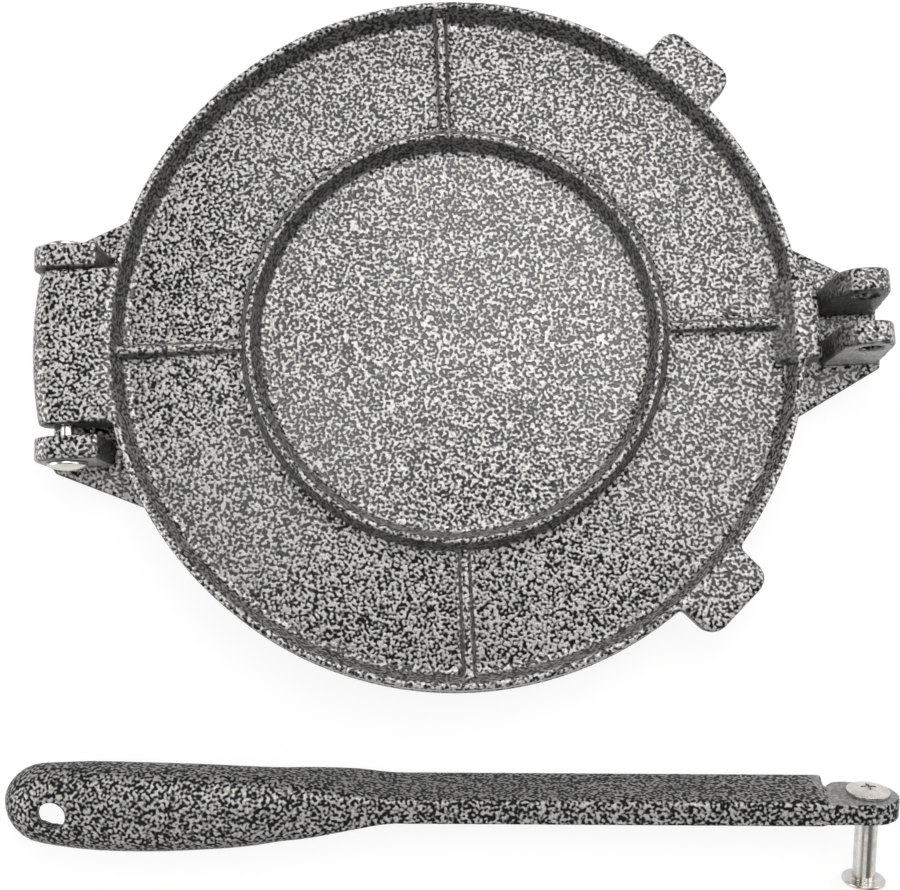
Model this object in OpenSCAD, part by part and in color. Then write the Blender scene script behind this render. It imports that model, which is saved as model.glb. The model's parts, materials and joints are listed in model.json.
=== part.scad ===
// Tortilla press: a round base plate and a ribbed lid hinged to it, and the
// lever that closes them, lying on the table in front with its pin in its eye.
// X runs from the hinge to the clevis, Y away from the lever, Z up.
// Z = 0 is the table.

/* [Plates] */
// Radius of the base plate at its foot
base_r = 104.8; // [98:0.1:112]
// Height of the base's pressing face above the table
face_h = 14; // [13:0.5:17]
// Thickness of the base's plate
base_plate_t = 6; // [5:0.5:8]
// Width of the base's foot rim
foot_w = 5.2; // [4:0.1:7]
// How far the lid's rim stands inside the base's edge
lid_inset = 1.8; // [1.2:0.1:3]
// Height of the lid's rim above its pressing face
lid_h = 12.5; // [11.5:0.1:14]
// Thickness of the lid's middle
lid_plate_t = 5.3; // [4.5:0.1:6]
// Width of the rim at its top
rim_w = 2.3; // [1.6:0.1:3]
// Radius of the raised ring, to the middle of its crest
ring_r = 60.6; // [54:0.1:68]
// Width of the ring's crest
ring_w = 1.6; // [1.2:0.1:2.4]
// Radial ribs between ring and rim
rib_count = 4; // [4, 8]
// Width of a rib at its foot
rib_w = 4.6; // [3:0.1:6]
// Height of the ribs above the pressing face
rib_top = 9.6; // [8.6:0.1:10.4]

/* [Lid tabs and nose] */
// Angle of each lifting tab from the clevis
tab_angle = 46.7; // [35:0.1:60]
// Width of a lifting tab
tab_w = 24.5; // [16:0.5:28]
// How far a tab stands out past the rim
tab_out = 11.6; // [8:0.1:16]
// Thickness of a tab
tab_t = 6; // [4:0.1:8]
// Width of the nose that the lever presses on
nose_w = 24; // [16:0.5:30]
// Height of the nose above the lid's rim
nose_rise = 0.4; // [0:0.1:1.5]
// How far the nose stands out past the rim
nose_out = 4.4; // [3:0.1:5]

/* [Hinge] */
// Hinge axis, past the base's edge
hinge_out = 10.4; // [9.5:0.1:12]
// Width of the lid's lug
lug_w = 46.4; // [40:0.1:52]
// How far the lug reaches past the hinge axis
lug_past = 10; // [8:0.1:10.1]
// Free play of the lug along its pin
lug_play = 3.8; // [1:0.1:5]
// Thickness of a hinge ear
hinge_ear_t = 7.2; // [5:0.1:9]
// Radius of a hinge ear
hinge_ear_r = 7.6; // [6.8:0.1:8]
// How far the ear's round end is moved outwards from the hinge axis
hinge_ear_past = 1.9; // [0:0.1:3]
// Diameter of the hinge pin
hinge_pin_d = 3.9; // [3:0.1:5]
// Diameter of the hinge pin's heads
hinge_head_d = 11.7; // [9:0.1:13]
// Thickness of the hinge pin's heads
hinge_head_t = 2.2; // [1.8:0.1:3]
// Height of the plates that carry hinge and clevis
flare_h = 9.6; // [8:0.1:9.8]
// Taper of the plate under the hinge, to each side per length
hinge_taper = 0.43; // [0.3:0.01:0.6]

/* [Clevis] */
// Lever's axis, past the base's edge
pivot_out = 14.4; // [14:0.1:17]
// Height of the lever's axis
pivot_h = 32; // [30:0.5:36]
// Gap between the clevis ears
clevis_gap = 8.4; // [7.8:0.1:9.4]
// Thickness of a clevis ear
clevis_ear_t = 7; // [5:0.1:7.2]
// Radius of a clevis ear
clevis_ear_r = 7.8; // [6.5:0.1:8.2]
// How far the ear's round end is set back behind the lever's axis
clevis_ear_back = 0.8; // [0:0.1:1.5]
// How far the ears widen outwards down to their foot
clevis_spread = 3; // [1:0.1:6]
// Taper of the plate under the clevis, to each side per length
clevis_taper = 0.54; // [0.4:0.01:0.7]

/* [Lever] */
// Length of the lever from its axis to its tip
lever_l = 249; // [235:0.1:270]
// Length of the straight bar from the axis to the grip
bar_l = 136; // [122:1:146]
// Thickness of the tongue that enters the clevis
tongue_t = 6; // [5.4:0.1:7.5]
// Radius of the eye
eye_r = 8.7; // [7.5:0.1:9.2]
// Thickness of the bar
bar_t = 7.8; // [7.6:0.1:10]
// Bar above the axis
bar_up = 8.8; // [7.5:0.1:9.6]
// Bar below the axis
bar_down = 12.3; // [11.5:0.1:14]
// Half the width of the grip
grip_hw = 12; // [10.5:0.1:15]
// Top of the grip above the axis
grip_up = 16; // [13:0.5:20]
// Edge of the grip below the axis
grip_down = 2.8; // [1:0.1:5]
// Wall of the hollow grip
grip_wall = 3.2; // [2.6:0.1:3.8]
// Diameter of the hanging hole
hang_d = 8; // [5:0.1:9]
// Hanging hole, from the tip
hang_in = 16.5; // [13:0.1:20]

/* [Pivot pin] */
// Diameter of the post
post_d = 6.4; // [5.4:0.1:7.6]
// Length between the heads
grip_length = 26; // [23.4:0.1:28]
// Diameter of the heads
head_d = 12.3; // [10:0.1:14]
// Thickness of the heads
head_t = 2.1; // [1.5:0.1:3]
// Diameter of the screw
screw_d = 4; // [3:0.1:4.4]
// Length of the screw under its head
screw_l = 12; // [8:0.5:16]

/* [Lever on the table] */
// Lever's axis along X, from the middle of the plates
laid_x = 113.2; // [90:0.1:120]
// Lever's axis in front of the middle of the plates
laid_y = 140.6; // [130:0.1:180]
// Turn of the lever from the line of hinge and clevis
laid_yaw = -2.8; // [-6:0.1:2]

/* [Fits] */
// Running clearance on radius, pins and screw
run_gap = 0.07; // [0.03:0.01:0.1]
// Clearance between faces that slide past each other
side_gap = 0.2; // [0.1:0.05:0.3]

/* [Hidden] */
$fn = 96;

// Casting details shared by base and lid
edge_break = 0.8;
draft = 0.9;
foot_fillet = 1.4;
crest_r = 0.6;
overlap = 1;
ear_ledge = 1.5;

// Underside of the base: how far ring and ribs stay above the table
under_gap = 2;
ring_foot = 1;
flare_wall = 4;
flare_web = 5;
flare_root = 14;

// Places of the axes
lid_r = base_r - lid_inset;
hinge_x = -(base_r + hinge_out);
hinge_z = face_h + lid_h / 2;
pivot_x = base_r + pivot_out;
hinge_slot = lug_w + lug_play;
lug_y = lug_play / 2 - side_gap;
hinge_half = hinge_slot / 2 + hinge_ear_t;
clevis_half = clevis_gap / 2 + clevis_ear_t;
clevis_ear_x = pivot_x - clevis_ear_back;
clevis_end = clevis_ear_x + clevis_ear_r + clevis_spread;

// How square the lever's section is, above and below its widest level. 2 is an ellipse.
BAR_SQUARE = [8, 12];
GRIP_SQUARE = [2.3, 4.5];

// The lever stands on the lower edge of its bar and on its pin's lower head, so
// it leans. The bar's edge touches at a point that depends on the lean.
head_r = head_d / 2;
head_share = 0.45;
head_rim = head_t * head_share;
low_head_y = tongue_t / 2 + side_gap / 2 - grip_length;
bar_mid = (bar_up - bar_down) / 2;
bar_low = [bar_t / 2, bar_mid + bar_down];
function touch(lean) =
    let (n = BAR_SQUARE[1], q = n / (n - 1), a = bar_low.x * sin(lean), b = bar_low.y * cos(lean),
         reach = pow(pow(a, q) + pow(b, q), 1 / q))
    [bar_low.x * pow(a / reach, q - 1), bar_low.y * pow(b / reach, q - 1) - bar_mid];
function lean_on(p) = atan((p.y - head_r) / (head_rim - low_head_y - p.x));
lean = lean_on(touch(lean_on(touch(15))));
laid_z = touch(lean) * [sin(lean), cos(lean)];

// The frame's origin is under the middle of the whole footprint
row_west = laid_x - lever_l * cos(laid_yaw);
axis_slope = cos(lean) * cos(laid_yaw);
row_south = -laid_y + (low_head_y - head_rim) * axis_slope
    - head_r * sqrt(1 - pow(axis_slope, 2));
row_mid = [(clevis_end + row_west) / 2, (base_r + row_south) / 2, 0];

module in_row() translate(-row_mid) children();

module laid_lever()
    in_row() translate([laid_x, -laid_y, laid_z]) rotate([0, 0, laid_yaw]) rotate([lean, 0, 0])
        children();

// Points of an arc
function arc(c, r, a0, a1, n = 6) =
    [for (i = [0:n]) let (a = a0 + (a1 - a0) * i / n) c + r * [cos(a), sin(a)]];

// Flat top between x_out and x_in with both edges rounded
function crest(x_out, x_in, top, r) =
    concat(arc([x_out - r, top - r], r, 0, 90), arc([x_in + r, top - r], r, 90, 180));

// A profile in X and Z, given a thickness along Y and centred on Y = 0
module wall_y(t) rotate([90, 0, 0]) linear_extrude(t, center = true) children();

// A hole or pin along Y, from y0 to y1
module rod_y(d, y0, y1) translate([0, y1, 0]) rotate([90, 0, 0]) cylinder(d = d, h = y1 - y0);

// A low domed head on the Y axis, its flat at Y = 0 and its dome towards +Y
module dome_head(d, t) {
    crown = t * (1 - head_share);
    ball = (pow(d / 2, 2) + pow(crown, 2)) / (2 * crown);
    edge = acos(1 - crown / ball);
    rotate([-90, 0, 0]) rotate_extrude()
        polygon(concat([[0, 0], [d / 2, 0]], arc([0, t - ball], ball, 90 - edge, 90, 10)));
}

// ---- Base ----

module base_disc() {
    web = face_h - base_plate_t;
    pocket_r = base_r - foot_w;
    ring_half = ring_w / 2 + ring_foot;
    rotate_extrude($fn = 180) polygon(concat(
        [[0, web], [ring_r - ring_half - overlap, web], [ring_r - ring_half, under_gap],
            [ring_r + ring_half, under_gap], [ring_r + ring_half + overlap, web]],
        arc([pocket_r - foot_fillet, web - foot_fillet], foot_fillet, 90, 0),
        [[pocket_r, 0], [base_r, 0], [base_r - edge_break / 2, face_h - edge_break],
            [base_r - edge_break * 1.5, face_h], [0, face_h]]));
    for (i = [0:rib_count - 1]) rotate(i * 360 / rib_count)
        translate([ring_r, -rib_w / 2, under_gap])
            cube([pocket_r + overlap - ring_r, rib_w, web + overlap - under_gap]);
}

// Outline of a plate that carries ears and narrows outwards from the disc
module flare_2d(tip_x, tip_half, taper, reach)
    polygon([[tip_x, tip_half], [tip_x, -tip_half],
        [tip_x - reach, -tip_half - taper * reach], [tip_x - reach, tip_half + taper * reach]]);

// Plate with ears: a web over a hollow underside, joined to the disc's foot rim
module flare(tip_x, tip_half, taper) {
    reach = tip_x - base_r + flare_root;
    difference() {
        linear_extrude(flare_h) flare_2d(tip_x, tip_half, taper, reach);
        translate([0, 0, -overlap]) linear_extrude(flare_h - flare_web + overlap)
            flare_2d(tip_x - flare_wall, tip_half - flare_wall, taper, reach);
        translate([0, 0, -overlap]) cylinder(r = base_r - foot_w, h = flare_h + 2 * overlap);
    }
}

module hinge_ear_2d() {
    foot = flare_h - overlap;
    end_x = hinge_x - hinge_ear_past;
    inner_x = -base_r + overlap / 2;
    translate([end_x, hinge_z]) circle(hinge_ear_r);
    translate([end_x - hinge_ear_r, foot]) square([2 * hinge_ear_r, hinge_z - foot]);
    translate([end_x, foot]) square([inner_x - end_x, hinge_z + hinge_ear_r - foot]);
}

module clevis_ear_2d() {
    splay = atan(clevis_spread / (pivot_h - flare_h));
    translate([clevis_ear_x, pivot_h]) circle(clevis_ear_r);
    polygon([
        [clevis_ear_x - clevis_ear_r, flare_h - overlap], [clevis_ear_x - clevis_ear_r, pivot_h],
        [clevis_ear_x + clevis_ear_r * cos(splay), pivot_h + clevis_ear_r * sin(splay)],
        [clevis_end, flare_h], [clevis_end, flare_h - overlap]]);
}

module base() color("dimgray") in_row() difference() {
    union() {
        base_disc();
        mirror([1, 0, 0]) flare(hinge_ear_r - hinge_x, hinge_half + ear_ledge, hinge_taper);
        flare(clevis_end, clevis_half + ear_ledge, clevis_taper);
        for (s = [-1, 1]) {
            translate([0, s * (hinge_slot + hinge_ear_t) / 2, 0])
                wall_y(hinge_ear_t) hinge_ear_2d();
            translate([0, s * (clevis_gap + clevis_ear_t) / 2, 0])
                wall_y(clevis_ear_t) clevis_ear_2d();
        }
    }
    translate([hinge_x, 0, hinge_z])
        rod_y(hinge_pin_d + 2 * run_gap, -hinge_half - overlap, hinge_half + overlap);
    translate([pivot_x, 0, pivot_h])
        rod_y(post_d + 2 * run_gap, -clevis_half - overlap, clevis_half + overlap);
}

// ---- Lid ----

// The lid's floor between ring and rim falls slightly outwards, and its walls
// run out towards their feet
floor_in = lid_plate_t + 2;
floor_out = lid_plate_t + 0.3;
wall_run = 1.6;
tab_corner = 5;
tab_neck = 3;
nose_run = 9.6;
nose_crest = 2.4;
nose_r = 2;

// Half section of the lid, from its axis to its rim
module lid_section() {
    rim_in = lid_r - rim_w;
    ring_out = ring_r + ring_w / 2;
    ring_in = ring_r - ring_w / 2;
    f = foot_fillet;
    polygon(concat(
        [[0, 0], [lid_r + draft - edge_break, 0], [lid_r + draft, edge_break]],
        crest(lid_r, rim_in, lid_h, crest_r),
        arc([rim_in - wall_run - f, floor_out + f], f, 0, -90),
        arc([ring_out + wall_run + f, floor_in + f], f, -90, -180),
        crest(ring_out, ring_in, lid_h, crest_r),
        arc([ring_in - wall_run - f, lid_plate_t + f], f, 0, -90),
        [[0, lid_plate_t]]));
}

module rib_2d() {
    h = rib_top - lid_plate_t + overlap;
    r = rib_w / 3;
    polygon(concat([[-rib_w / 2, 0], [rib_w / 2, 0]], arc([0, h - r], r, 0, 180)));
}

// A tab with rounded corners, widened by a fillet where it leaves the rim
module tab_2d() {
    half = tab_w / 2;
    root = lid_r - rim_w / 2;
    tip = lid_r + tab_out - tab_corner;
    neck_x = lid_r + draft;
    sag = pow(half, 2) / 2 / lid_r;
    polygon(concat(
        arc([neck_x, -half - tab_neck], tab_neck, 180, 90),
        arc([tip, tab_corner - half], tab_corner, -90, 0),
        arc([tip, half - tab_corner], tab_corner, 0, 90),
        arc([neck_x, half + tab_neck], tab_neck, -90, -180),
        [[root - sag, half], [root - sag, -half]]));
}

module nose_2d() {
    top = lid_h + nose_rise;
    tip = lid_r + nose_out;
    polygon(concat(
        [[lid_r - nose_run, lid_plate_t]],
        arc([lid_r - nose_crest, top - nose_r / 2], nose_r / 2, 160, 90),
        arc([tip - nose_r, top - nose_r], nose_r, 90, 0),
        [[tip, edge_break + nose_r], [tip - nose_r, edge_break], [lid_r - nose_run, edge_break]]));
}

// Section of the hinge lug, which ends in a half round
module lug_2d() {
    r = lid_h / 2;
    round_x = lug_past - hinge_x - r;
    translate([lid_r - rim_w, 0]) square([round_x - lid_r + rim_w, lid_h]);
    translate([round_x, r]) circle(r);
}

module lid() color("gray") in_row() translate([0, 0, face_h]) difference() {
    union() {
        rotate_extrude($fn = 180) lid_section();
        for (i = [0:rib_count - 1]) rotate(i * 360 / rib_count)
            translate([ring_r, 0, lid_plate_t - overlap]) rotate([90, 0, 90])
                linear_extrude(lid_r - rim_w - ring_r) rib_2d();
        for (s = [-1, 1]) rotate(s * tab_angle)
            translate([0, 0, lid_h - tab_t]) linear_extrude(tab_t) tab_2d();
        wall_y(nose_w) nose_2d();
        intersection() {
            rotate_extrude($fn = 180) lug_2d();
            translate([hinge_x - lug_past - overlap, lug_y - lug_w / 2, -overlap])
                cube([2 * lug_past + hinge_out, lug_w, lid_h + 2 * overlap]);
        }
    }
    translate([hinge_x, lug_y, hinge_z - face_h])
        rod_y(hinge_pin_d + 2 * run_gap, -lug_w / 2 - overlap, lug_w / 2 + overlap);
}

// ---- Hinge pin ----

cap_seat = hinge_head_t * 0.6;

module hinge_pin() color("silver") in_row() translate([hinge_x, 0, hinge_z]) {
    reach = hinge_half + side_gap / 2;
    rod_y(hinge_pin_d, -reach, reach + cap_seat);
    translate([0, -reach, 0]) mirror([0, 1, 0]) dome_head(hinge_head_d, hinge_head_t);
}

module hinge_cap() color("silver") in_row()
    translate([hinge_x, hinge_half + side_gap / 2, hinge_z]) difference() {
        dome_head(hinge_head_d, hinge_head_t);
        rod_y(hinge_pin_d + run_gap, -overlap, cap_seat + side_gap / 2);
    }

// ---- Lever ----

// The lever's section blends from the bar's to the grip's. Each station gives
// how far along the grip it is, and how far half width, top, widest level and
// lower edge have gone from the bar's value to the grip's.
STATIONS = [
    [0, 0, 0, 0, 0],
    [0.1, 0.2, 0.16, 0.1, 0.07],
    [0.22, 0.51, 0.5, 0.55, 0.48],
    [0.355, 0.78, 0.85, 0.9, 0.9],
    [0.52, 0.93, 1, 1, 1],
    [0.65, 0.985, 1, 1, 1.03],
    [0.78, 1.01, 0.8, 0.8, 1.1],
    [0.885, 0.92, 0.57, 0.55, 1.15],
    [1, 0.8, 0.2, 0.24, 1]];
grip_mid = 6.6;
tip_r = grip_hw;

function mix(a, b, t) = a + (b - a) * t;

// Smooth curve through one column of the stations
function slope(k, c) =
    let (a = STATIONS[max(0, k - 1)], b = STATIONS[min(len(STATIONS) - 1, k + 1)])
    k == 0 ? 0 : (b[c] - a[c]) / (b[0] - a[0]);
function blend(d, c) =
    let (s = (d - bar_l) / (lever_l - bar_l),
         k = max([for (i = [0:len(STATIONS) - 2]) if (STATIONS[i][0] <= max(s, 0)) i]),
         p = STATIONS[k], q = STATIONS[k + 1], h = q[0] - p[0], t = (s - p[0]) / h)
    s <= 0 ? 0
    : p[c] * (1 + 2 * t) * pow(1 - t, 2) + q[c] * t * t * (3 - 2 * t)
        + h * (slope(k, c) * t * pow(1 - t, 2) - slope(k + 1, c) * t * t * (1 - t));

function half_at(d) = mix(bar_t / 2, grip_hw, blend(d, 1));
function top_at(d) = mix(bar_up, grip_up, blend(d, 2));
function mid_at(d) = mix(bar_mid, grip_mid, blend(d, 3));
function foot_at(d) = mix(-bar_down, -grip_down, blend(d, 4));

function square_at(d, part) =
    mix(BAR_SQUARE[part], GRIP_SQUARE[part], min(1, 1.5 * blend(d, 1)));
function power(v, n) = sign(v) * pow(abs(v), 2 / n);

// A cross section d behind the axis, drawn in to the share e and by a wall
function section(d, e, wall, sides) =
    let (hw = (half_at(d) - wall) * e, mid = mid_at(d),
         up = (top_at(d) - wall - mid) * e, down = (mid - foot_at(d)) * e)
    [for (i = [0:sides - 1]) let (a = 360 * i / sides, n = square_at(d, a <= 180 ? 0 : 1))
        [-d, hw * power(cos(a), n), mid + (a <= 180 ? up : down) * power(sin(a), n)]];

// A skin over rings of equal size
module skin(rings) {
    n = len(rings[0]);
    m = len(rings);
    polyhedron([for (r = rings) each r], concat(
        [[for (i = [n - 1:-1:0]) i]],
        [for (j = [0:m - 2]) for (i = [0:n - 1]) each [
            [j * n + i, (j + 1) * n + (i + 1) % n, (j + 1) * n + i],
            [j * n + i, j * n + (i + 1) % n, (j + 1) * n + (i + 1) % n]]],
        [[for (i = [0:n - 1]) (m - 1) * n + i]]), convexity = 6);
}

// Bar and grip in one skin, closed by a round tip
module lever_body() {
    straight = [0, bar_l];
    round_from = lever_l - tip_r;
    skin(concat([for (d = straight) section(d, 1, 0, 32)],
        [for (d = [bar_l + 4:4:round_from]) section(d, 1, 0, 32)],
        [for (a = [14:14:84]) section(round_from + tip_r * sin(a), cos(a), 0, 32)]));
}

// The hollow under the grip, round at both ends and open downwards
module grip_hollow() {
    start = bar_l + (lever_l - bar_l) / 5;
    end = lever_l - grip_wall;
    open = bar_down + 3 * grip_up;
    function cut(d, e) =
        [for (p = section(d, e, grip_wall, 16)) p.z < mid_at(d) ? p - [0, 0, open] : p];
    skin(concat(
        [for (a = [66:-18:12]) cut(start + tip_r * (1 - sin(a)), cos(a))],
        [for (d = [start + tip_r:5:end - tip_r]) cut(d, 1)],
        [for (a = [12:18:66]) cut(end - tip_r + tip_r * sin(a), cos(a))]));
}

// The bar ends in a slanted step whose lower corner presses on the lid's nose
cam_low = 10.5;
cam_high = 14.2;
module bar_end_2d() {
    slant = (cam_high - cam_low) / (bar_up + bar_down);
    polygon([
        [overlap, -bar_down - overlap], [-cam_low + slant * overlap, -bar_down - overlap],
        [-cam_high - slant * overlap, bar_up + overlap], [overlap, bar_up + overlap]]);
}

// The tongue: an eye, and a neck whose lower corner is rounded off
heel_in = 6;
heel_r = 5;
module tongue_2d() {
    low = eye_r - heel_r;
    top = min(eye_r, bar_up);
    circle(eye_r);
    translate([-cam_high - 2 * overlap, -low]) square([cam_high + 2 * overlap, low + top]);
    translate([-heel_in, -eye_r]) square([heel_in, eye_r]);
    translate([-heel_in, -low]) circle(heel_r);
}

hang_chamfer = 0.8;

module lever() color("darkslategray") laid_lever() difference() {
    union() {
        difference() {
            lever_body();
            grip_hollow();
            wall_y(4 * bar_t) bar_end_2d();
        }
        wall_y(tongue_t) tongue_2d();
    }
    rod_y(post_d + 2 * run_gap, -tongue_t, tongue_t);
    translate([hang_in - lever_l, 0, 0]) {
        cylinder(d = hang_d, h = 2 * grip_up);
        translate([0, 0, top_at(lever_l - hang_in) - hang_chamfer])
            cylinder(d1 = hang_d, d2 = hang_d + 4 * hang_chamfer, h = 2 * hang_chamfer);
    }
}

// ---- Pivot pin: a post with a head, and the screw in its open end ----

module pivot_post() color("silver") laid_lever() difference() {
    union() {
        rod_y(post_d, low_head_y, tongue_t / 2);
        translate([0, low_head_y, 0]) mirror([0, 1, 0]) dome_head(head_d, head_t);
    }
    rod_y(screw_d + 2 * run_gap, tongue_t / 2 - screw_l - overlap, tongue_t / 2 + overlap);
}

// The screw's head has a small cross slot
slot_l = head_d * 0.36;
slot_w = 1;
module pivot_screw() color("silver") laid_lever()
    translate([0, (tongue_t + side_gap) / 2, 0]) difference() {
        union() {
            rod_y(screw_d, -screw_l, head_t / 4);
            dome_head(head_d, head_t);
        }
        for (a = [0, 90]) rotate([0, a, 0])
            translate([-slot_l / 2, head_t / 2, -slot_w / 2]) cube([slot_l, head_t, slot_w]);
    }

base();
lid();
hinge_pin();
hinge_cap();
lever();
pivot_post();
pivot_screw();
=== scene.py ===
"""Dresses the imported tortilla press: hammertone enamel on the castings, nickel on
the pins, and the press and its loose lever on a pale table."""

import json
import math

import bmesh
import bpy
from bpy.props import FloatProperty, FloatVectorProperty, IntProperty, PointerProperty
from mathutils import Matrix, Vector


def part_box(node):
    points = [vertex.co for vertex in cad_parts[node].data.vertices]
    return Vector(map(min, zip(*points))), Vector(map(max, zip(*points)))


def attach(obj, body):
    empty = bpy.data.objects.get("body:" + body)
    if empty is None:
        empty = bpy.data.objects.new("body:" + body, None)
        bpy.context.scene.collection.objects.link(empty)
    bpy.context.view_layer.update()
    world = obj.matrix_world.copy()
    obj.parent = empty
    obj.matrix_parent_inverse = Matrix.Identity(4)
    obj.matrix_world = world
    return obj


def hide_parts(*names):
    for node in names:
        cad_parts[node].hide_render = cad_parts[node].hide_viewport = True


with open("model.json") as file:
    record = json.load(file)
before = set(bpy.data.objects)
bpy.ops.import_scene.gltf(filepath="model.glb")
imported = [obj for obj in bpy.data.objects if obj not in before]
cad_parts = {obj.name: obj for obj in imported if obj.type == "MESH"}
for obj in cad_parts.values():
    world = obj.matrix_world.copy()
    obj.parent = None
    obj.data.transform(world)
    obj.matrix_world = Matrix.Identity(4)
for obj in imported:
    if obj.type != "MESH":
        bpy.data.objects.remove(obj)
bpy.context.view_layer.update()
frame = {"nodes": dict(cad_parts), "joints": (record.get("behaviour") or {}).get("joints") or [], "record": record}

bl_info = {
    "name": "Tortilla press",
    "version": (1, 0, 0),
    "blender": (4, 5, 0),
    "location": "3D View > Sidebar > Press",
    "description": "Dresses a packed tortilla press in hammertone enamel and nickel",
    "category": "Object",
}

MM = 0.001
JOINTS = {joint["name"]: joint for joint in frame["joints"]}
MOUNTS = {mount["name"]: mount for mount in frame["record"]["mounts"]}
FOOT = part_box("base")[0].z
HINGE = Vector(JOINTS["lid_hinge"]["pos_m"])
PLATES_FROM_HINGE = 115.2 * MM
PLATES_MIDDLE = Vector((HINGE.x + PLATES_FROM_HINGE, HINGE.y, 0))

# Smooth faces: on the base, front faces above its flares and in front of a line between its ears, whose light tone
# is painted sheen of the white table they mirror; on the lever, ground faces within a reach of its eye
FLARE_TOP = 10 * MM
EARS_LINE = PLATES_MIDDLE.y - 8 * MM
TONGUE_REACH = 14 * MM

# Nearly all of a noise lies between these values
NOISE_RANGE = (0.3, 0.7)

# Softboxes over the table, which the plates mirror: name, middle, size, turn in degrees and
# radiance. Their heights differ, because where two overlap in one plane only one is seen.
CEILING = (
    ("over", (0.11, 0.39, 0.95), (0.8, 0.58), 0, 2.3),
    ("middle", (0.12, 0.31, 0.93), (0.36, 0.3), 0, 2.4),
    ("left", (-0.222, 0.054, 0.94), (0.34, 0.2), 27, 2.4),
    ("right", (0.31, 0.054, 0.94), (0.36, 0.2), -27, 2.5))
# Softboxes at the sides, aimed at the press: name, middle, width and share of the side power
SIDES = (
    ("east", (1.05, 0.1, 0.75), 0.8, 1.0),
    ("west", (-1.0, -0.1, 0.38), 0.8, 1.0),
    ("north", (0.0, 1.25, 0.6), 0.9, 1.0),
    ("south", (-0.25, -1.05, 0.95), 0.8, 0.35))


# ---- Sizes and colours ----

class EnamelSettings(bpy.types.PropertyGroup):
    """The hammertone enamel on base, lid and lever."""
    silver: FloatVectorProperty(
        name="Silver", description="Colour of the metallic flakes' network",
        subtype="COLOR", size=3, default=(0.6, 0.59, 0.57))
    black: FloatVectorProperty(
        name="Black", description="Colour of the dark cells between the flakes",
        subtype="COLOR", size=3, default=(0.006, 0.006, 0.0065))
    # Painted shade: the lever wears the plates' enamel; its duller flakes stand for the weaker light on it
    lever_silver_in_shade: FloatVectorProperty(
        name="Lever's silver", description="Colour of the flakes on the lever",
        subtype="COLOR", size=3, default=(0.55, 0.54, 0.525))
    lever_black: FloatVectorProperty(
        name="Lever's black", description="Colour of the dark cells on the lever",
        subtype="COLOR", size=3, default=(0.014, 0.014, 0.015))
    # Painted sheen: the base's front faces get this light smooth tone, which stands for the white table they
    # mirror
    ground: FloatVectorProperty(
        name="Ground ears", description="Colour of the thin enamel on the clevis's ground face",
        subtype="COLOR", size=3, default=(0.46, 0.455, 0.45))
    lever_ground: FloatVectorProperty(
        name="Ground tongue", description="Colour of the thin enamel on the lever's ground tongue",
        subtype="COLOR", size=3, default=(0.26, 0.255, 0.25))
    grain: FloatProperty(
        name="Grain", description="Size of the flakes and the cells between them",
        subtype="DISTANCE", unit="LENGTH", default=0.94 * MM, min=0.5 * MM, max=5 * MM)
    black_share: FloatProperty(
        name="Black share", description="Share of a flat face that is black",
        subtype="FACTOR", default=0.53, min=0.1, max=0.9)
    # Painted shade: the lever's larger black share stands for the weaker light on it
    lever_black_share_in_shade: FloatProperty(
        name="Lever's black share", description="Share of the lever that is black",
        subtype="FACTOR", default=0.58, min=0.1, max=0.9)
    # Painted shade: steep walls keep only these shares of the flakes and look darker, walls facing the front
    # darkest
    front_wall_silver_in_shade: FloatProperty(
        name="Silver on front walls",
        description="Share of the flakes that inner walls facing the front keep",
        subtype="FACTOR", default=0.24, min=0.0, max=1.0)
    back_wall_silver_in_shade: FloatProperty(
        name="Silver on back walls",
        description="Share of the flakes that inner walls facing the back keep",
        subtype="FACTOR", default=0.5, min=0.0, max=1.0)
    outer_wall_silver_in_shade: FloatProperty(
        name="Silver on outer walls",
        description="Share of the flakes that the plates' outer walls keep",
        subtype="FACTOR", default=0.8, min=0.0, max=1.0)
    # Painted shade: the lever's steep sides keep only this share of the flakes and look darker
    lever_side_silver_in_shade: FloatProperty(
        name="Silver on the lever's sides",
        description="Share of the flakes that the lever's sides keep",
        subtype="FACTOR", default=0.62, min=0.0, max=1.0)
    gloss: FloatProperty(
        name="Gloss", description="Specular level of the plates' enamel",
        subtype="FACTOR", default=0.5, min=0.0, max=1.0)
    lever_gloss: FloatProperty(
        name="Lever's gloss", description="Specular level of the lever's enamel",
        subtype="FACTOR", default=0.03, min=0.0, max=1.0)
    shine: FloatProperty(
        name="Shine", description="How metallic the plates' flakes are",
        subtype="FACTOR", default=0.36, min=0.0, max=1.0)
    lever_shine: FloatProperty(
        name="Lever's shine", description="How metallic the lever's flakes are",
        subtype="FACTOR", default=0.25, min=0.0, max=1.0)
    cell_roughness: FloatProperty(
        name="Cell roughness", description="Roughness of the black cells",
        subtype="FACTOR", default=0.14, min=0.05, max=1.0)
    flake_roughness: FloatProperty(
        name="Flake roughness", description="Roughness of the flakes",
        subtype="FACTOR", default=0.36, min=0.05, max=1.0)
    wall_roughness: FloatProperty(
        name="Wall roughness", description="What the roughness gains on steep inner walls",
        subtype="FACTOR", default=0.15, min=0.0, max=1.0)
    relief: FloatProperty(
        name="Relief", description="Height of the enamel's dimples",
        subtype="DISTANCE", unit="LENGTH", default=0.12 * MM, min=0, max=1 * MM)
    skin_grid: FloatProperty(
        name="Skin grid", description="Width of a face on the plates' skin",
        subtype="DISTANCE", unit="LENGTH", default=0.7 * MM, min=0.4 * MM, max=2 * MM)
    lever_skin_grid: FloatProperty(
        name="Lever's skin grid", description="Width of a face on the lever's skin",
        subtype="DISTANCE", unit="LENGTH", default=0.5 * MM, min=0.4 * MM, max=2 * MM)
    skin_rounds: IntProperty(
        name="Skin rounds", description="How often the skin is smoothed, which rounds its edges",
        default=5, min=0, max=30)


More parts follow.
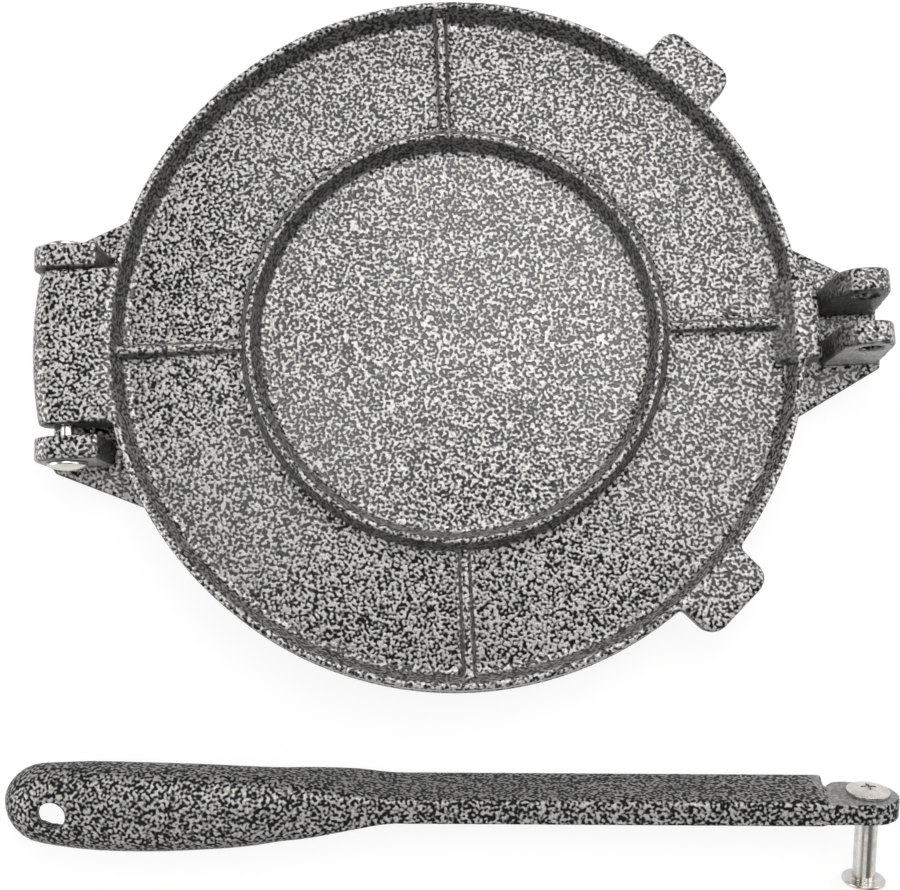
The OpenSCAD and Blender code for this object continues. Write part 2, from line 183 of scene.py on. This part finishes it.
class NickelSettings(bpy.types.PropertyGroup):
    """The nickel-plated pins."""
    colour: FloatVectorProperty(
        name="Nickel", description="Colour of the plated steel",
        subtype="COLOR", size=3, default=(0.66, 0.63, 0.595))
    roughness: FloatProperty(
        name="Roughness", description="Roughness of the plated steel",
        subtype="FACTOR", default=0.24, min=0.05, max=0.8)
    edge_radius: FloatProperty(
        name="Edge radius", description="Rounding of the pins' edges",
        subtype="DISTANCE", unit="LENGTH", default=0.2 * MM, min=0.02 * MM, max=1 * MM)
    edge_segments: IntProperty(
        name="Edge segments", description="Facets across a rounded edge",
        default=2, min=1, max=6)


class StageSettings(bpy.types.PropertyGroup):
    """Table, light and camera."""
    table_colour: FloatVectorProperty(
        name="Table", description="Colour of the table",
        subtype="COLOR", size=3, default=(0.86, 0.86, 0.86))
    table_size: FloatProperty(
        name="Table size", description="Width of the table",
        subtype="DISTANCE", unit="LENGTH", default=6.0, min=1.0, max=20.0)
    table_glow: FloatProperty(
        name="Table glow", description="White that the camera sees mixed into the table",
        subtype="FACTOR", default=0.8, min=0.0, max=1.0)
    softbox_power: FloatProperty(
        name="Softbox power", description="Factor on the softboxes over the table",
        subtype="FACTOR", default=1.0, min=0.0, max=10.0)
    side_power: FloatProperty(
        name="Side power", description="Power of a softbox at the sides",
        unit="POWER", default=5.0, min=0.0, max=500.0)
    world_light: FloatProperty(
        name="Room light", description="Strength of the even light from all round",
        subtype="FACTOR", default=0.15, min=0.0, max=5.0)
    camera_tilt: FloatProperty(
        name="Camera tilt", description="Angle of the view from straight down",
        subtype="ANGLE", unit="ROTATION", default=math.radians(7.7))
    camera_bearing: FloatProperty(
        name="Camera bearing", description="Side that the camera leans to, from the front",
        subtype="ANGLE", unit="ROTATION", default=math.radians(2.45))
    picture_turn: FloatProperty(
        name="Picture turn", description="Turn of the press in the picture",
        subtype="ANGLE", unit="ROTATION", default=math.radians(2.5))
    camera_height: FloatProperty(
        name="Camera height", description="Height of the lens above the table",
        subtype="DISTANCE", unit="LENGTH", default=399.1 * MM)
    camera_forward: FloatProperty(
        name="Camera forward", description="Lens in front of the plates' middle",
        subtype="DISTANCE", unit="LENGTH", default=83.3 * MM)
    camera_sideways: FloatProperty(
        name="Camera sideways", description="Lens to the right of the plates' middle",
        subtype="DISTANCE", unit="LENGTH", default=0.92 * MM)
    lens: FloatProperty(
        name="Lens", description="Focal length in mm, on a sensor 36 mm wide",
        subtype="DISTANCE_CAMERA", unit="CAMERA", default=52.0, min=10.0, max=300.0)


# ---- Materials ----

class Tree:
    """A node tree with short ways to add and join nodes."""

    def __init__(self, owner, shader, output):
        owner.use_nodes = True
        self.owner = owner
        self.nodes = owner.node_tree.nodes
        self.links = owner.node_tree.links
        self.shader = self.nodes[shader]
        self.output = self.nodes[output]

    def add(self, kind, **values):
        """A new node with some of its settings."""
        node = self.nodes.new(kind)
        for key, value in values.items():
            setattr(node, key, value)
        return node

    def join(self, source, target):
        """Links an output to an input."""
        self.links.new(source, target)

    def coords(self):
        """Object coordinates in metres, turned so that no flat face follows the noise's grid."""
        off_grid = (0.7, 0.5, 0.3)
        turned = self.add("ShaderNodeMapping")
        turned.inputs["Rotation"].default_value = off_grid
        self.join(self.add("ShaderNodeTexCoord").outputs["Object"], turned.inputs["Vector"])
        return turned.outputs["Vector"]

    def noise(self, vector, size, detail, distortion=0.0):
        """Noise whose features are about size across."""
        node = self.add("ShaderNodeTexNoise")
        node.inputs["Scale"].default_value = 1 / size
        node.inputs["Detail"].default_value = detail
        node.inputs["Distortion"].default_value = distortion
        self.join(vector, node.inputs["Vector"])
        return node.outputs["Fac"]

    def math(self, operation, *values):
        """The output of an operation on numbers and sockets."""
        node = self.add("ShaderNodeMath", operation=operation)
        for socket, value in zip(node.inputs, values):
            if isinstance(value, (int, float)):
                socket.default_value = value
            else:
                self.join(value, socket)
        return node.outputs[0]

    def ramp(self, value, low, high, to_low=0.0, to_high=1.0):
        """value from low..high to to_low..to_high, smoothly and clamped."""
        node = self.add("ShaderNodeMapRange", interpolation_type="SMOOTHSTEP")
        ends = {"From Min": low, "From Max": high, "To Min": to_low, "To Max": to_high}
        for key, number in ends.items():
            if isinstance(number, (int, float)):
                node.inputs[key].default_value = number
            else:
                self.join(number, node.inputs[key])
        self.join(value, node.inputs["Value"])
        return node.outputs["Result"]

    def between(self, factor, at_zero, at_one):
        """From at_zero to at_one, numbers or sockets, as factor goes from 0 to 1."""
        return self.ramp(factor, 0.0, 1.0, at_zero, at_one)

    def mix(self, factor, first, second):
        """Colour mix of first and second, each a colour or a socket."""
        node = self.add("ShaderNodeMix", data_type="RGBA")
        self.join(factor, node.inputs["Factor"])
        colour_a, colour_b, colour_out = 6, 7, 2
        for key, value in ((colour_a, first), (colour_b, second)):
            if isinstance(value, bpy.types.NodeSocket):
                self.join(value, node.inputs[key])
            else:
                node.inputs[key].default_value = (*value, 1.0)
        return node.outputs[colour_out]

    def scaled(self, colour, factor):
        """A colour times a socket."""
        node = self.add("ShaderNodeVectorMath", operation="SCALE")
        node.inputs[0].default_value = colour
        self.join(factor, node.inputs["Scale"])
        return node.outputs[0]

    def bump(self, height, distance, strength=1.0):
        """Dimples in the shader's normal, distance high where height is 1."""
        node = self.add("ShaderNodeBump")
        node.inputs["Distance"].default_value = distance
        node.inputs["Strength"].default_value = strength
        self.join(height, node.inputs["Height"])
        self.join(node.outputs["Normal"], self.shader.inputs["Normal"])


def material_tree(name):
    """The tree of a new material."""
    return Tree(bpy.data.materials.new(name), "Principled BSDF", "Material Output")


def cells_and_flakes(tree, grain, black_share):
    """0 in the black cells, 1 in the flakes between them, and the place that the noises read."""
    half_black_level = 0.475
    level_per_share = 0.5
    patch_grains = 20
    patch_swing = 0.05
    blur = 0.16
    place = tree.coords()
    cells = tree.noise(place, grain, detail=0.0, distortion=0.1)
    patches = tree.noise(place, grain * patch_grains, detail=2.0)
    share_level = half_black_level + (black_share - 0.5) * level_per_share
    level = tree.math("MULTIPLY_ADD", patches, patch_swing, share_level)
    flakes = tree.ramp(cells, tree.math("SUBTRACT", level, blur), tree.math("ADD", level, blur))
    return flakes, place


def outwards(tree, middle):
    """1 on walls that look away from the plates' middle and stand far from it, 0 on others."""
    ring_reach = 65 * MM
    rim_reach = 95 * MM
    spoke = tree.add("ShaderNodeVectorMath", operation="SUBTRACT")
    tree.join(tree.add("ShaderNodeTexCoord").outputs["Object"], spoke.inputs[0])
    spoke.inputs[1].default_value = middle
    along = tree.add("ShaderNodeVectorMath", operation="DOT_PRODUCT")
    tree.join(spoke.outputs[0], along.inputs[0])
    tree.join(tree.add("ShaderNodeTexCoord").outputs["Normal"], along.inputs[1])
    return tree.ramp(along.outputs["Value"], ring_reach, rim_reach)


def hammertone(name, enamel, black, silver, black_share, wall_shade_shares, gloss, shine):
    """Enamel of silver flakes round black cells. Steep walls keep fewer flakes as painted shade, most of all
    inner walls that face the front; the three wall shares are for inner walls that face the front, inner walls
    that face the back, and outer walls."""
    steep_z, flat_z = 0.55, 0.94
    front_y, back_y = -0.3, 0.7
    dull, bright = 0.75, 1.18
    front_shade_share, back_shade_share, outer_shade_share = wall_shade_shares
    tree = material_tree(name)
    flakes, place = cells_and_flakes(tree, enamel.grain, black_share)
    sparkle = tree.noise(place, enamel.grain * 0.5, detail=1.0)
    flake_colour = tree.scaled(silver, tree.ramp(sparkle, *NOISE_RANGE, dull, bright))
    normal = tree.add("ShaderNodeSeparateXYZ")
    tree.join(tree.add("ShaderNodeTexCoord").outputs["Normal"], normal.inputs[0])
    flat = tree.ramp(tree.math("ABSOLUTE", normal.outputs["Z"]), steep_z, flat_z)
    outer = outwards(tree, PLATES_MIDDLE)
    inner_shade_share = tree.ramp(normal.outputs["Y"], front_y, back_y, front_shade_share, back_shade_share)
    wall_shade_share = tree.between(outer, inner_shade_share, outer_shade_share)
    # Painted shade: steep walls keep only their share of the flakes, so they look darker
    shaded_flakes = tree.math("MULTIPLY", flakes, tree.between(flat, wall_shade_share, 1.0))
    tree.join(tree.mix(shaded_flakes, black, flake_colour), tree.shader.inputs["Base Color"])
    tree.join(tree.between(shaded_flakes, 0.0, shine), tree.shader.inputs["Metallic"])
    rough = tree.between(flakes, enamel.cell_roughness, enamel.flake_roughness)
    inner_wall = tree.math("SUBTRACT", 1.0, tree.math("MAXIMUM", flat, outer))
    rougher = tree.math("MULTIPLY_ADD", inner_wall, enamel.wall_roughness, rough)
    tree.join(rougher, tree.shader.inputs["Roughness"])
    tree.shader.inputs["Specular IOR Level"].default_value = gloss
    tree.bump(flakes, enamel.relief)


def smooth_enamel(name, enamel, colour):
    """Smooth enamel: thin on the lever's faces that were ground flat, and painted sheen of the white table on the
    base's front faces.
    """
    cell_tone, flake_tone = 0.65, 1.1
    dark_cloud, light_cloud = 0.8, 1.15
    smooth, rough = 0.38, 0.55
    cloud_size = enamel.grain * 4
    grit_size = enamel.grain * 0.4
    grit_height = enamel.relief * 0.3
    tree = material_tree(name)
    flakes, place = cells_and_flakes(tree, enamel.grain, enamel.black_share)
    cloudy = tree.noise(place, cloud_size, detail=4.0)
    clouds = tree.ramp(cloudy, *NOISE_RANGE, dark_cloud, light_cloud)
    tone = tree.math("MULTIPLY", clouds, tree.between(flakes, cell_tone, flake_tone))
    tree.join(tree.scaled(colour, tone), tree.shader.inputs["Base Color"])
    grit = tree.noise(place, grit_size, detail=2.0)
    tree.join(tree.ramp(grit, *NOISE_RANGE, smooth, rough), tree.shader.inputs["Roughness"])
    tree.bump(grit, grit_height)


def nickel(name, settings):
    """Plated steel with a fine grain and faint stains."""
    grain_size = 0.15 * MM
    grain_height = 0.01 * MM
    stain_size = 3 * MM
    stain_from, stain_to = 0.35, 0.7
    stain_tone = 0.8
    smooth, rough = settings.roughness * 0.8, settings.roughness * 1.3
    tree = material_tree(name)
    place = tree.coords()
    grain = tree.noise(place, grain_size, detail=3.0)
    stain = tree.noise(place, stain_size, detail=3.0)
    dark = tuple(stain_tone * part for part in settings.colour)
    stained = tree.mix(tree.ramp(stain, stain_from, stain_to), settings.colour, dark)
    tree.join(stained, tree.shader.inputs["Base Color"])
    tree.join(tree.ramp(stain, *NOISE_RANGE, smooth, rough), tree.shader.inputs["Roughness"])
    tree.shader.inputs["Metallic"].default_value = 1.0
    tree.bump(grain, grain_height, strength=0.3)


# ---- Pieces ----

def mesh_of(name, bm):
    """A new mesh from a bmesh, which is then freed."""
    mesh = bpy.data.meshes.new(name)
    bm.to_mesh(mesh)
    bm.free()
    return mesh


def add_object(name, data):
    """A new object in the scene, from a mesh, a lamp or a camera."""
    thing = bpy.data.objects.new(name, data)
    bpy.context.scene.collection.objects.link(thing)
    return thing


def finished(name, bm, materials, body, nodes):
    """Turns a bmesh into a smooth piece that rides on a body and stands for CAD nodes."""
    for face in bm.faces:
        face.smooth = True
    piece = add_object(name, mesh_of(name, bm))
    for material in materials:
        piece.data.materials.append(bpy.data.materials[material])
    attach(piece, body)
    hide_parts(*nodes)
    return piece


def merged_copy(node):
    """The node's mesh as one closed skin."""
    bm = bmesh.new()
    bm.from_mesh(frame["nodes"][node].data)
    same_place = 0.002 * MM
    bmesh.ops.remove_doubles(bm, verts=bm.verts, dist=same_place)
    return bm


def whole_flats(bm):
    """Joins the faces that lie in one plane."""
    in_one_plane = math.radians(0.4)
    bmesh.ops.dissolve_limit(
        bm, angle_limit=in_one_plane, verts=bm.verts, edges=bm.edges,
        use_dissolve_boundaries=False, delimit=set())


def cast_skin(node, grid, rounds):
    """The node's shape under thick enamel, which rounds its edges and fills its corners."""
    bare_name = node + "_bare"
    bare = add_object(bare_name, mesh_of(bare_name, merged_copy(node)))
    even = bare.modifiers.new("even faces", "REMESH")
    even.mode = "VOXEL"
    even.voxel_size = grid
    even.adaptivity = 0.05 * MM
    soft = bare.modifiers.new("thick enamel", "SMOOTH")
    soft.iterations = rounds
    skin = bpy.data.meshes.new_from_object(
        bare.evaluated_get(bpy.context.evaluated_depsgraph_get()))
    bpy.data.objects.remove(bare)
    bm = bmesh.new()
    bm.from_mesh(skin)
    bpy.data.meshes.remove(skin)
    return bm


def ream(bm, axis, radius, reach):
    """Makes a bore along Y round again, where the skin lies within a reach of its wall."""
    for vert in bm.verts:
        out = Vector((vert.co.x - axis.x, 0, vert.co.z - axis.z))
        if abs(out.length - radius) < reach:
            out.normalize()
            vert.co.x = axis.x + out.x * radius
            vert.co.z = axis.z + out.z * radius


def mark_smooth_faces(bm, towards, inside):
    """Gives the second material to faces that look towards a side and are inside a region."""
    least_cosine = 0.97
    for face in bm.faces:
        if face.normal.dot(towards) > least_cosine and inside(face.calc_center_median()):
            face.material_index = 1


def round_edges(bm, radius, segments, sharper_than):
    """Rounds every edge whose faces meet at more than an angle."""
    edges = [
        edge for edge in bm.edges
        if len(edge.link_faces) == 2 and edge.calc_face_angle(0) > sharper_than]
    bmesh.ops.bevel(
        bm, geom=edges, offset=radius, offset_type="OFFSET", segments=segments,
        profile=0.5, affect="EDGES", clamp_overlap=True, material=-1)


def shade_flats(piece):
    """Keeps flat faces flat beside rounded edges."""
    weights = piece.modifiers.new("face weights", "WEIGHTED_NORMAL")
    weights.keep_sharp = True
    weights.weight = 80


class PRESS_OT_base(bpy.types.Operator):
    """Adds the base plate with its ears, rounded as a casting is"""
    bl_idname = "press.base"
    bl_label = "Base"

    def execute(self, context):
        enamel = context.scene.press_enamel
        bm = cast_skin("base", enamel.skin_grid, enamel.skin_rounds)
        bore = MOUNTS["clevis_bore"]
        ream(bm, Vector(bore["pos_m"]), bore["dims"]["r_mm"] * MM, reach=0.5 * MM)
        # Painted sheen: faces that look to the front take the light smooth enamel, for the white table they mirror
        front = Vector((0, -1, 0))
        mark_smooth_faces(bm, front, lambda place: place.z > FLARE_TOP and place.y < EARS_LINE)
        finished(
            "base_casting", bm, ["silver_black_enamel", "front_sheen_enamel"],
            "base", ["base"])
        return {"FINISHED"}


class PRESS_OT_lid(bpy.types.Operator):
    """Adds the ribbed lid, rounded as a casting is"""
    bl_idname = "press.lid"
    bl_label = "Lid"

    def execute(self, context):
        enamel = context.scene.press_enamel
        bm = cast_skin("lid", enamel.skin_grid, enamel.skin_rounds)
        finished(
            "lid_casting", bm, ["silver_black_enamel"], "lid", ["lid"])
        return {"FINISHED"}


class PRESS_OT_lever(bpy.types.Operator):
    """Adds the lever, rounded as a casting is"""
    bl_idname = "press.lever"
    bl_label = "Lever"

    def execute(self, context):
        enamel = context.scene.press_enamel
        bm = cast_skin("lever", enamel.lever_skin_grid, enamel.skin_rounds)
        up = Vector(JOINTS["screw_out"]["axis"])
        eye = Vector(JOINTS["lever_swing"]["pos_m"])
        mark_smooth_faces(bm, up, lambda place: abs(place.x - eye.x) < TONGUE_REACH)
        finished(
            "lever_casting", bm, ["shaded_lever_enamel", "ground_dark_enamel"],
            "lever", ["lever"])
        return {"FINISHED"}


class PRESS_OT_pins(bpy.types.Operator):
    """Adds both pins, their edges rounded and plated with nickel"""
    bl_idname = "press.pins"
    bl_label = "Pins"

    def execute(self, context):
        sharp = math.radians(40)
        steel = context.scene.press_nickel
        for node in ("hinge_pin", "hinge_cap", "pivot_post", "pivot_screw"):
            body = "base" if node.startswith("hinge") else node
            bm = merged_copy(node)
            whole_flats(bm)
            round_edges(bm, steel.edge_radius, steel.edge_segments, sharp)
            piece = finished(
                node + "_plated", bm, ["nickel_plate"], body, [node])
            shade_flats(piece)
        return {"FINISHED"}


class PRESS_OT_stage(bpy.types.Operator):
    """Adds the table, the softboxes and the camera"""
    bl_idname = "press.stage"
    bl_label = "Stage"

    def execute(self, context):
        stage = context.scene.press_stage
        self.add_table(stage)
        self.light_room(context.scene, stage)
        self.hang_softboxes(stage)
        self.add_camera(context.scene, stage)
        context.scene.view_settings.view_transform = "Standard"
        return {"FINISHED"}

    def add_table(self, stage):
        """A pale table just under the foot, which shows white but keeps the shadow."""
        under_foot = 0.05 * MM
        white_strength = 1.08
        bm = bmesh.new()
        bmesh.ops.create_grid(bm, x_segments=1, y_segments=1, size=stage.table_size / 2)
        bmesh.ops.translate(bm, verts=bm.verts, vec=(0, 0, FOOT - under_foot))
        table = add_object("table", mesh_of("table", bm))
        tree = material_tree("table_white")
        tree.shader.inputs["Base Color"].default_value = (*stage.table_colour, 1.0)
        tree.shader.inputs["Roughness"].default_value = 0.9
        white = tree.add("ShaderNodeEmission")
        white.inputs["Strength"].default_value = white_strength
        seen = tree.math("MULTIPLY", seen_directly(tree), stage.table_glow)
        blend = tree.add("ShaderNodeMixShader")
        tree.join(seen, blend.inputs[0])
        tree.join(tree.shader.outputs[0], blend.inputs[1])
        tree.join(white.outputs[0], blend.inputs[2])
        tree.join(blend.outputs[0], tree.output.inputs["Surface"])
        table.data.materials.append(tree.owner)

    def light_room(self, scene, stage):
        """A dim room whose white walls show in reflections only, and white for the camera
        where nothing stands."""
        walls_end, ceiling_from = 0.2, 0.6
        scene.world = bpy.data.worlds.new("room")
        tree = Tree(scene.world, "Background", "World Output")
        tree.shader.inputs["Strength"].default_value = stage.world_light
        tree.shader.inputs["Color"].default_value = (1, 1, 1, 1)
        walls = tree.add("ShaderNodeBackground")
        walls.inputs["Color"].default_value = (1, 1, 1, 1)
        height = tree.add("ShaderNodeSeparateXYZ")
        tree.join(tree.add("ShaderNodeTexCoord").outputs["Generated"], height.inputs[0])
        fading = tree.ramp(height.outputs["Z"], walls_end, ceiling_from, 1.0, stage.world_light)
        tree.join(fading, walls.inputs["Strength"])
        mirrored = tree.add("ShaderNodeMixShader")
        tree.join(seen_directly(tree), mirrored.inputs[0])
        tree.join(tree.shader.outputs[0], mirrored.inputs[1])
        tree.join(walls.outputs[0], mirrored.inputs[2])
        white = tree.add("ShaderNodeBackground")
        white.inputs["Color"].default_value = (1, 1, 1, 1)
        camera = tree.add("ShaderNodeMixShader")
        tree.join(tree.add("ShaderNodeLightPath").outputs["Is Camera Ray"], camera.inputs[0])
        tree.join(mirrored.outputs[0], camera.inputs[1])
        tree.join(white.outputs[0], camera.inputs[2])
        tree.join(camera.outputs[0], tree.output.inputs["Surface"])

    def hang_softboxes(self, stage):
        """The softboxes over the table, which face down, and those at its sides."""
        for name, place, size, turn, radiance in CEILING:
            below = (place[0], place[1], 0)
            power = radiance * math.pi * size[0] * size[1] * stage.softbox_power
            softbox("softbox_" + name, place, below, size, power, turn)
        for name, place, width, share in SIDES:
            softbox("softbox_" + name, place, (0, 0, 0), (width, width), stage.side_power * share)

    def add_camera(self, scene, stage):
        """The camera over the plates, leaning to the front, as the photograph was taken."""
        turn = Matrix.Rotation(-stage.picture_turn, 4, "Z")
        tilt, bearing = stage.camera_tilt, stage.camera_bearing
        lean = math.sin(tilt)
        back = Vector((lean * math.sin(bearing), -lean * math.cos(bearing), math.cos(tilt)))
        right = Vector((0, 1, 0)).cross(back).normalized()
        up = back.cross(right)
        aim = Matrix((right, up, back)).transposed().to_4x4()
        place = PLATES_MIDDLE + turn @ Vector((
            stage.camera_sideways, -stage.camera_forward, stage.camera_height))
        camera = add_object("camera", bpy.data.cameras.new("camera"))
        camera.data.lens = stage.lens
        camera.data.sensor_width = 36
        camera.data.clip_start = 0.01
        camera.matrix_world = Matrix.Translation(place) @ turn @ aim
        scene.camera = camera


def seen_directly(tree):
    """1 for what the camera, a reflection or glass sees, 0 for bounced light."""
    path = tree.add("ShaderNodeLightPath")
    direct = tree.math("MAXIMUM", path.outputs["Is Camera Ray"], path.outputs["Is Glossy Ray"])
    return tree.math("MAXIMUM", direct, path.outputs["Is Transmission Ray"])


def softbox(name, place, aim, size, power, turn=0):
    """A rectangular lamp at a place, facing an aim and turned about the vertical in degrees."""
    lamp = bpy.data.lights.new(name, "AREA")
    lamp.shape = "RECTANGLE"
    lamp.size, lamp.size_y = size
    lamp.energy = power
    light = add_object(name, lamp)
    light.location = place
    facing = (Vector(place) - Vector(aim)).to_track_quat("Z", "Y").to_matrix()
    light.rotation_euler = (Matrix.Rotation(math.radians(turn), 3, "Z") @ facing).to_euler()


class PRESS_PT_sidebar(bpy.types.Panel):
    """Lists the press's pieces and their settings"""
    bl_label = "Tortilla press"
    bl_idname = "PRESS_PT_sidebar"
    bl_space_type = "VIEW_3D"
    bl_region_type = "UI"
    bl_category = "Press"

    def draw(self, context):
        for operator in OPERATORS:
            self.layout.operator(operator.bl_idname)
        scene = context.scene
        for settings in (scene.press_enamel, scene.press_nickel, scene.press_stage):
            for key in settings.__annotations__:
                self.layout.prop(settings, key)


OPERATORS = (PRESS_OT_base, PRESS_OT_lid, PRESS_OT_lever, PRESS_OT_pins, PRESS_OT_stage)
CLASSES = (EnamelSettings, NickelSettings, StageSettings, *OPERATORS, PRESS_PT_sidebar)


def register():
    for cls in CLASSES:
        bpy.utils.register_class(cls)
    bpy.types.Scene.press_enamel = PointerProperty(type=EnamelSettings)
    bpy.types.Scene.press_nickel = PointerProperty(type=NickelSettings)
    bpy.types.Scene.press_stage = PointerProperty(type=StageSettings)


def unregister():
    del bpy.types.Scene.press_stage
    del bpy.types.Scene.press_nickel
    del bpy.types.Scene.press_enamel
    for cls in reversed(CLASSES):
        bpy.utils.unregister_class(cls)


def make_materials(scene):
    """The enamels and the nickel, which the pieces take by name."""
    enamel = scene.press_enamel
    hammertone(
        "silver_black_enamel", enamel, enamel.black, enamel.silver, enamel.black_share,
        (enamel.front_wall_silver_in_shade, enamel.back_wall_silver_in_shade, enamel.outer_wall_silver_in_shade),
        enamel.gloss, enamel.shine)
    # Painted shade: the plates' enamel with duller flakes and more black, for the weaker light on the lever
    hammertone(
        "shaded_lever_enamel", enamel, enamel.lever_black, enamel.lever_silver_in_shade,
        enamel.lever_black_share_in_shade, (enamel.lever_side_silver_in_shade,) * 3,
        enamel.lever_gloss, enamel.lever_shine)
    # Painted sheen on the base's front faces, which mirror the white table
    smooth_enamel("front_sheen_enamel", enamel, enamel.ground)
    smooth_enamel("ground_dark_enamel", enamel, enamel.lever_ground)
    nickel("nickel_plate", scene.press_nickel)


def main():
    """Dresses the press."""
    register()
    make_materials(bpy.context.scene)
    bpy.ops.press.base()
    bpy.ops.press.lid()
    bpy.ops.press.lever()
    bpy.ops.press.pins()
    bpy.ops.press.stage()


if __name__ == "__main__":
    main()
